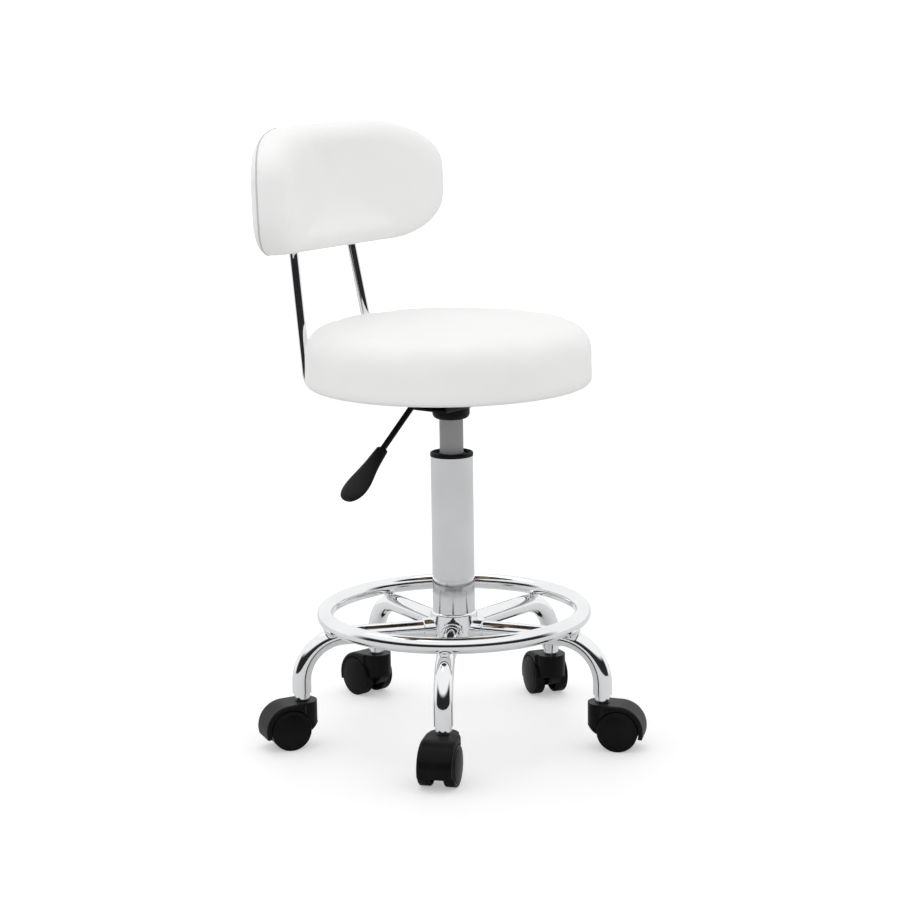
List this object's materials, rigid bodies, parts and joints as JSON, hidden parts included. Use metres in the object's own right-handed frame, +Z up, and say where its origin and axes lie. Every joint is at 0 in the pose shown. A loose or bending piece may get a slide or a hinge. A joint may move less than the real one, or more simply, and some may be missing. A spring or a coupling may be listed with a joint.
{
  "type": "rolling stylist stool",
  "caption": "Height adjustable stool on a five-leg base with casters and a foot ring, with a round padded seat and a curved back pad on two bars.",
  "frame": {"origin": "on the floor, on the axis of the column", "axes": "+Z up along the column, a sitter faces -Y with the back pad on the +Y side, the lift lever leaves towards -X"},
  "size_m": [0.4377, 0.4579, 0.7201],
  "materials": {
    "chrome": "bright chrome plate on steel tube",
    "gas_grey": "dark grey satin coat",
    "white_vinyl": "smooth white vinyl, soft sheen",
    "plywood": "plain birch plywood",
    "caster_black": "black nylon, satin",
    "black_plastic": "black moulded plastic, fine matte grain",
    "black_paint": "black powder coat",
    "buffer_rubber": "black rubber",
    "brass": "turned brass",
    "zinc_steel": "zinc plated steel"
  },
  "bodies": {
    "base": {"hub": "chrome", "leg_1": "chrome", "leg_2": "chrome", "leg_3": "chrome", "leg_4": "chrome", "leg_5": "chrome", "foot_ring": "chrome", "column_tube": "chrome", "column_end_plate": "zinc_steel", "guide_bushing": "black_plastic", "lower_race": "zinc_steel", "leg_end_plugs": "chrome", "caster_stems": "chrome"},
    "bearing_cage": {"thrust_bearing": "zinc_steel"},
    "lift_rod": {"piston_rod": "zinc_steel", "piston": "brass", "upper_race": "zinc_steel", "rubber_buffer": "buffer_rubber", "rod_clip": "zinc_steel"},
    "seat": {"gas_cylinder": "gas_grey", "cylinder_gland": "black_plastic", "valve_body": "black_plastic", "seat_plate": "black_paint", "mechanism_channel": "black_paint", "taper_bell": "black_plastic", "lever_pivot_pin": "zinc_steel", "seat_cushion": "white_vinyl", "seat_board": "plywood", "seat_bolts": "zinc_steel", "tee_nuts": "zinc_steel", "back_bracket": "black_paint", "back_bar_right": "chrome", "back_bar_left": "chrome", "back_pad": "white_vinyl", "back_board": "plywood", "back_screws": "zinc_steel"},
    "lever": {"lever_rod": "black_paint", "lever_grip": "black_plastic"},
    "pin": {"release_pin": "zinc_steel"},
    "caster_1": {"caster_hood_1": "caster_black", "caster_axle_1": "zinc_steel"},
    "wheel_1a": {"caster_wheel_1a": "caster_black"},
    "wheel_1b": {"caster_wheel_1b": "caster_black"},
    "caster_2": {"caster_hood_2": "caster_black", "caster_axle_2": "zinc_steel"},
    "wheel_2a": {"caster_wheel_2a": "caster_black"},
    "wheel_2b": {"caster_wheel_2b": "caster_black"},
    "caster_3": {"caster_hood_3": "caster_black", "caster_axle_3": "zinc_steel"},
    "wheel_3a": {"caster_wheel_3a": "caster_black"},
    "wheel_3b": {"caster_wheel_3b": "caster_black"},
    "caster_4": {"caster_hood_4": "caster_black", "caster_axle_4": "zinc_steel"},
    "wheel_4a": {"caster_wheel_4a": "caster_black"},
    "wheel_4b": {"caster_wheel_4b": "caster_black"},
    "caster_5": {"caster_hood_5": "caster_black", "caster_axle_5": "zinc_steel"},
    "wheel_5a": {"caster_wheel_5a": "caster_black"},
    "wheel_5b": {"caster_wheel_5b": "caster_black"}
  },
  "joints": [
    {"name": "seat_swivel", "type": "hinge", "parent": "base", "child": "lift_rod", "pos_m": [0, 0, 0.112], "axis": [0, 0, 1], "continuous": true},
    {"name": "bearing_turn", "type": "hinge", "parent": "base", "child": "bearing_cage", "pos_m": [0, 0, 0.112], "axis": [0, 0, 1], "continuous": true},
    {"name": "seat_lift", "type": "slide", "parent": "lift_rod", "child": "seat", "axis": [0, 0, 1], "range_m": [-0.038, 0.082]},
    {"name": "lever_lift", "type": "hinge", "parent": "seat", "child": "lever", "pos_m": [-0.025, 0, 0.41], "axis": [0, 1, 0], "range_deg": [0, 5.7], "stiffness_Nm_per_rad": 3, "springref_deg": -2.86},
    {"name": "pin_press", "type": "slide", "parent": "seat", "child": "pin", "axis": [0, 0, -1], "range_m": [0, 0.0026]},
    {"name": "caster_swivel_1", "type": "hinge", "parent": "base", "child": "caster_1", "pos_m": [0.18569, -0.01071, 0.05], "axis": [0, 0, 1], "continuous": true},
    {"name": "wheel_turn_1a", "type": "hinge", "parent": "caster_1", "child": "wheel_1a", "pos_m": [0.19631, 0.00565, 0.024], "axis": [-0.8387, 0.5446, 0], "continuous": true},
    {"name": "wheel_turn_1b", "type": "hinge", "parent": "caster_1", "child": "wheel_1b", "pos_m": [0.19631, 0.00565, 0.024], "axis": [-0.8387, 0.5446, 0], "continuous": true},
    {"name": "caster_swivel_2", "type": "hinge", "parent": "base", "child": "caster_2", "pos_m": [0.06757, 0.1733, 0.05], "axis": [0, 0, 1], "continuous": true},
    {"name": "wheel_turn_2a", "type": "hinge", "parent": "caster_2", "child": "wheel_2a", "pos_m": [0.07162, 0.19237, 0.024], "axis": [-0.9781, 0.2079, 0], "continuous": true},
    {"name": "wheel_turn_2b", "type": "hinge", "parent": "caster_2", "child": "wheel_2b", "pos_m": [0.07162, 0.19237, 0.024], "axis": [-0.9781, 0.2079, 0], "continuous": true},
    {"name": "caster_swivel_3", "type": "hinge", "parent": "base", "child": "caster_3", "pos_m": [-0.14393, 0.11781, 0.05], "axis": [0, 0, 1], "continuous": true},
    {"name": "wheel_turn_3a", "type": "hinge", "parent": "caster_3", "child": "wheel_3a", "pos_m": [-0.16047, 0.12814, 0.024], "axis": [-0.5299, -0.848, 0], "continuous": true},
    {"name": "wheel_turn_3b", "type": "hinge", "parent": "caster_3", "child": "wheel_3b", "pos_m": [-0.16047, 0.12814, 0.024], "axis": [-0.5299, -0.848, 0], "continuous": true},
    {"name": "caster_swivel_4", "type": "hinge", "parent": "base", "child": "caster_4", "pos_m": [-0.15652, -0.10049, 0.05], "axis": [0, 0, 1], "continuous": true},
    {"name": "wheel_turn_4a", "type": "hinge", "parent": "caster_4", "child": "wheel_4a", "pos_m": [-0.17447, -0.1081, 0.024], "axis": [0.3907, -0.9205, 0], "continuous": true},
    {"name": "wheel_turn_4b", "type": "hinge", "parent": "caster_4", "child": "wheel_4b", "pos_m": [-0.17447, -0.1081, 0.024], "axis": [0.3907, -0.9205, 0], "continuous": true},
    {"name": "caster_swivel_5", "type": "hinge", "parent": "base", "child": "caster_5", "pos_m": [0.0472, -0.17991, 0.05], "axis": [0, 0, 1], "continuous": true},
    {"name": "wheel_turn_5a", "type": "hinge", "parent": "caster_5", "child": "wheel_5a", "pos_m": [0.05544, -0.19759, 0.024], "axis": [0.9063, 0.4226, 0], "continuous": true},
    {"name": "wheel_turn_5b", "type": "hinge", "parent": "caster_5", "child": "wheel_5b", "pos_m": [0.05544, -0.19759, 0.024], "axis": [0.9063, 0.4226, 0], "continuous": true}
  ],
  "couplings": [
    {"joint": "bearing_turn", "follows": "seat_swivel", "ratio": 0.5},
    {"joint": "pin_press", "follows": "lever_lift", "m_per_rad": 0.0245}
  ]
}
